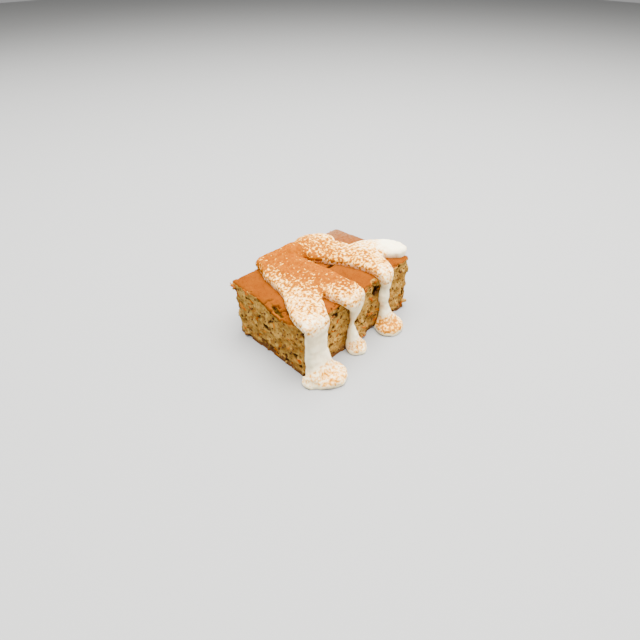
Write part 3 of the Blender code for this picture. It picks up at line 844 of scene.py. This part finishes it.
def grain_shape():
    """A grain of cinnamon: a rough flake of a few faces, 1 across."""
    rng = random.Random(3)
    bm = bmesh.new()
    bmesh.ops.create_icosphere(bm, subdivisions=1, radius=0.5)
    for vert in bm.verts:
        vert.co *= rng.uniform(0.7, 1.1)
        vert.co.z *= 0.6
    return helper("grain_shape", bm)


def crumb_shape():
    """A loose bit of crumb: a lumpy ball of a few faces, 1 across."""
    rng = random.Random(11)
    bm = bmesh.new()
    bmesh.ops.create_icosphere(bm, subdivisions=1, radius=0.5)
    for vert in bm.verts:
        vert.co *= rng.uniform(0.65, 1.15)
    return helper("crumb_shape", bm)


def nut_shape():
    """A broken bit of nut: a flat lump with rough sides, 1 across."""
    rng = random.Random(21)
    bm = bmesh.new()
    bmesh.ops.create_icosphere(bm, subdivisions=2, radius=0.5)
    for vert in bm.verts:
        vert.co *= 0.85 + 0.5 * noise.noise(vert.co * 3.1) + rng.uniform(-0.05, 0.05)
        vert.co.y *= 0.7
        vert.co.z *= 0.45
    return helper("nut_shape", bm)


def shred_shape():
    """A shred of carrot: a bent, tapering strip with a flat oval section, 1 long."""
    rings, sides = 9, 6
    bm = bmesh.new()
    loops = []
    for ring in range(rings):
        along = ring / (rings - 1)
        width = 0.02 + 0.13 * math.sin(math.pi * (0.08 + 0.84 * along))
        bow = 0.12 * math.sin(math.pi * along)
        loop = []
        for side in range(sides):
            angle = math.tau * side / sides
            spot = (along - 0.5, bow + width * math.cos(angle), 0.55 * width * math.sin(angle))
            loop.append(bm.verts.new(spot))
        loops.append(loop)
    for first, second in zip(loops, loops[1:]):
        for side in range(sides):
            after = (side + 1) % sides
            bm.faces.new((first[side], first[after], second[after], second[side]))
    bm.faces.new(reversed(loops[0]))
    bm.faces.new(loops[-1])
    bmesh.ops.recalc_face_normals(bm, faces=bm.faces)
    return helper("shred_shape", bm)


def add_shown(piece, shape, shown):
    """Joins bits that show at certain places on the cut faces to the strewn ones."""
    look = piece.data.polygons[0].material_index
    bm = bmesh.new()
    bm.from_mesh(piece.data)
    for middle, way, length, turn in shown:
        outwards = -INWARDS[way]
        level = Vector((0, 1, 0)) if way == "x" else Vector((1, 0, 0))
        along = level * math.cos(math.radians(turn)) + Vector((0, 0, math.sin(math.radians(turn))))
        across = outwards.cross(along)
        turned = Matrix((along, across, outwards)).transposed().to_4x4()
        fit = Matrix.Translation(Vector(middle) * MM) @ turned @ Matrix.Scale(length * MM, 4)
        first = len(bm.verts)
        bm.from_mesh(shape.data)
        bm.verts.ensure_lookup_table()
        bmesh.ops.transform(bm, matrix=fit, verts=bm.verts[first:])
    for face in bm.faces:
        face.material_index = look
    bm.to_mesh(piece.data)
    bm.free()


def keep_above_floor(piece):
    """Flattens what would reach under the floor."""
    for vert in piece.data.vertices:
        vert.co.z = max(vert.co.z, 0.0)


def make_cake():
    """The crumb and its crust."""
    cake = merged_copy("cake_crumb_and_crust", "cake")
    refine(cake, CAKE_VOXEL, CAKE_ROUNDS)
    shape_crust(cake)
    modifier = cake.modifiers.new("Relief", "NODES")
    modifier.node_group = relief_tree()
    set_inputs(modifier, {**RELIEF, "Material": cake_material()})
    bake(cake)
    cake.data.shade_smooth()
    return cake


def mark_crumb(cake):
    """Stores where bits may be strewn: on the cut faces, under the crust."""
    under = [item.value for item in cake.data.attributes["under"].data]
    on_face = []
    for vert, depth in zip(cake.data.vertices, under):
        height = vert.co.z / MM
        on_face.append(ease((depth - 1.8) / 1.2) * ease(height / 1.5) * ease(1.2 - abs(vert.normal.z)))
    store(cake.data, "on_face", on_face)


def make_cream():
    """The cream, pressed on to the cake, with the places of its dusting."""
    cream = merged_copy("cream_runs_and_pools", "cream")
    refine(cream, CREAM_VOXEL, CREAM_ROUNDS)
    noise.seed_set(DRIFT_SEED)
    moved, drifted, high, sides, tops = [], [], [], [], []
    for place, normal in surface_points(cream.data):
        x, y, z = place
        ripple = sum(height * noise.noise(place / size) for height, size in RIPPLES)
        if z > FOLDS_ABOVE and normal.z > 0.1:
            for points, half_width, height in FOLDS:
                gap = line_gap(x, y, points) / half_width
                ripple += height * math.exp(-gap * gap) * normal.z
        moved.append(pinched(pressed_on_cake(place, normal) + normal * ripple))
        drift = noise.noise_vector(place / DRIFT_WAVES) * DRIFT
        drifted.append((place.x + drift.x, place.y + drift.y))
        high.append(place.z)
        off_crust = ease((z - raised_top(x) - 0.5) / 2.2) if abs(y) < WIDTH / 2 - 1 else 1.0
        sides.append(ease((normal.z + 0.75) / 0.7) * (DUST_AT_EDGES + (1 - DUST_AT_EDGES) * off_crust))
        tops.append(ease((normal.z + 0.1) / 0.7))
    move_to(cream.data, moved)
    above_crust = np.interp(high, DUST_FADE_ON_TOP, (0, 1))
    near_floor = np.interp(high, DUST_FADE_ON_POOLS, (1, 0))
    on_top = dusted(drifted, DUST_ON_TOP) * above_crust * np.array(sides)
    on_pools = dusted(drifted, DUST_ON_POOLS) * near_floor * np.array(tops)
    store(cream.data, "dust", np.maximum(on_top, on_pools))
    store(cream.data, "sprinkled", np.maximum(on_top, GRAINS_ON_POOLS * on_pools))
    cream.data.materials.clear()
    cream.data.materials.append(cream_material())
    cream.data.shade_smooth()
    return cream


def dusted(places, plan):
    """How much of the cream the cinnamon covers at each place, blended from the places of a plan."""
    places = np.array(places)
    total, weights = np.zeros(len(places)), np.full(len(places), 0.02)
    for x, y, share in plan:
        weight = np.exp(-((places[:, 0] - x) ** 2 + (places[:, 1] - y) ** 2) / (2 * DUST_REACH**2))
        total += weight * share
        weights += weight
    return total / weights


def pinched(place):
    """Narrows the necks of the two slim runs on the long cut face."""
    if place.y > 5 - WIDTH / 2 or place.z < 10:
        return place
    for middle_x, half_width, middle_z, reach, share in NECKS:
        if abs(place.x - middle_x) < half_width:
            near = (place.z - middle_z) / reach
            place.x -= (place.x - middle_x) * share * math.exp(-near * near)
    return place


def pressed_on_cake(place, normal):
    """Where a point of the cream goes, so that the side that faces the cake sinks into its uneven surface."""
    x, y, z = place
    half_length, half_width = LENGTH / 2, WIDTH / 2
    over_top = abs(x) < half_length and abs(y) < half_width and z > 30
    at_rim = abs(y) > half_width - 1 and abs(normal.y) > 0.6
    if over_top and (normal.z < -0.6 or normal.z < 0.1 and not at_rim):
        near = ease((raised_top(x) + PRESSED_FROM - z) / 1.6)
        return place - Vector((0, 0, PRESSED_DOWN * near * ease((0.1 - normal.z) / 0.5)))
    if normal.y > 0.6 and -half_width - 1.6 < y < -half_width + 1 and z > 0.5:
        on_slim_run = x > -18 and z < 34
        pressed = PRESSED_SLIM if on_slim_run else PRESSED_ON_FACE
        return place + Vector((0, pressed * ease((x + half_length - 0.5) / 3), 0))
    if normal.y < -0.6 and half_width - 1 < y < half_width + 5:
        return place - Vector((0, PRESSED_ON_FACE, 0))
    return place


def finish_piece(piece, node):
    """Ties a piece to the part, and hides the solid of the node that it stands for."""
    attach(piece, "root")
    if node:
        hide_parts(node)


def main():
    """Makes all pieces of the slice and ties them to the part."""
    cake = make_cake()
    mark_crumb(cake)
    cream = make_cream()
    tree = scatter_tree()
    carrot = plain_material("carrot_shred", CARROT, 5.0, 0.6)
    speck = plain_material("dark_nut_speck", DARK_SPECK, 0.8, 0.6)
    brown = plain_material("brown_nut", BROWN_NUT, 1.2, 0.7)
    loose = plain_material("loose_crumb", LOOSE_CRUMB, 1.0, 0.85)
    spice = plain_material("cinnamon_grain", CINNAMON_GRAIN, 0.5, 0.9)
    shred, grain, crumb, nut = shred_shape(), grain_shape(), crumb_shape(), nut_shape()

    shreds = strew("carrot_shreds", tree, cake, "on_face", shred, carrot)
    specks = strew("dark_specks", tree, cake, "on_face", crumb, speck)
    bits = strew("loose_crumbs", tree, cake, "on_face", crumb, loose)
    nuts = strew("nut_bits", tree, cake, "on_face", nut, brown)
    grains = strew("cinnamon_grains", tree, cream, "sprinkled", grain, spice)

    add_shown(shreds, shred, SHOWN_SHREDS)
    add_shown(bits, crumb, SHOWN_CRUMBS)
    add_shown(nuts, nut, SHOWN_NUTS)
    for piece in (cake, cream, shreds, specks, bits, nuts, grains):
        keep_above_floor(piece)

    finish_piece(cake, "cake")
    finish_piece(cream, "cream")
    for piece in (shreds, specks, bits, nuts):
        finish_piece(piece, None)
    finish_piece(grains, None)


def add_floor():
    """A wide pale floor, which isn't part of the object."""
    bm = bmesh.new()
    bmesh.ops.create_grid(bm, x_segments=1, y_segments=1, size=2.0)
    mesh = bpy.data.meshes.new("studio_floor")
    bm.to_mesh(mesh)
    bm.free()
    mesh.materials.append(floor_material())
    floor = bpy.data.objects.new("studio_floor", mesh)
    bpy.context.scene.collection.objects.link(floor)


def add_light(name, place, aim, size, power, colour):
    """A square soft light that looks at a point."""
    lamp = bpy.data.lights.new(name, "AREA")
    lamp.size = size
    lamp.energy = power
    lamp.color = colour
    light = bpy.data.objects.new(name, lamp)
    light.location = place
    light.rotation_euler = (Vector(aim) - Vector(place)).to_track_quat("-Z", "Y").to_euler()
    bpy.context.scene.collection.objects.link(light)


def add_camera():
    """The camera at the photo's angle and framing."""
    lens = bpy.data.cameras.new("camera")
    lens.sensor_width = SENSOR_WIDTH
    lens.lens = FOCAL_LENGTH
    camera = bpy.data.objects.new("camera", lens)
    place, aim = Vector(CAMERA_PLACE), Vector(CAMERA_AIM)
    camera.location = place
    camera.rotation_euler = (aim - place).to_track_quat("-Z", "Y").to_euler()
    bpy.context.scene.collection.objects.link(camera)
    bpy.context.scene.camera = camera


def add_studio():
    """Soft light from above, with weaker lights from the right and from behind."""
    world = bpy.data.worlds.new("studio")
    world.use_nodes = True
    shade = world.node_tree.nodes["Background"]
    shade.inputs["Color"].default_value = (1.0, 1.0, 1.0, 1.0)
    shade.inputs["Strength"].default_value = ROOM_LIGHT
    bpy.context.scene.world = world
    for name, place, size, power, colour in LIGHTS:
        add_light(name, place, LIGHT_AIM, size, power, colour)


main()
add_floor()
add_studio()
add_camera()
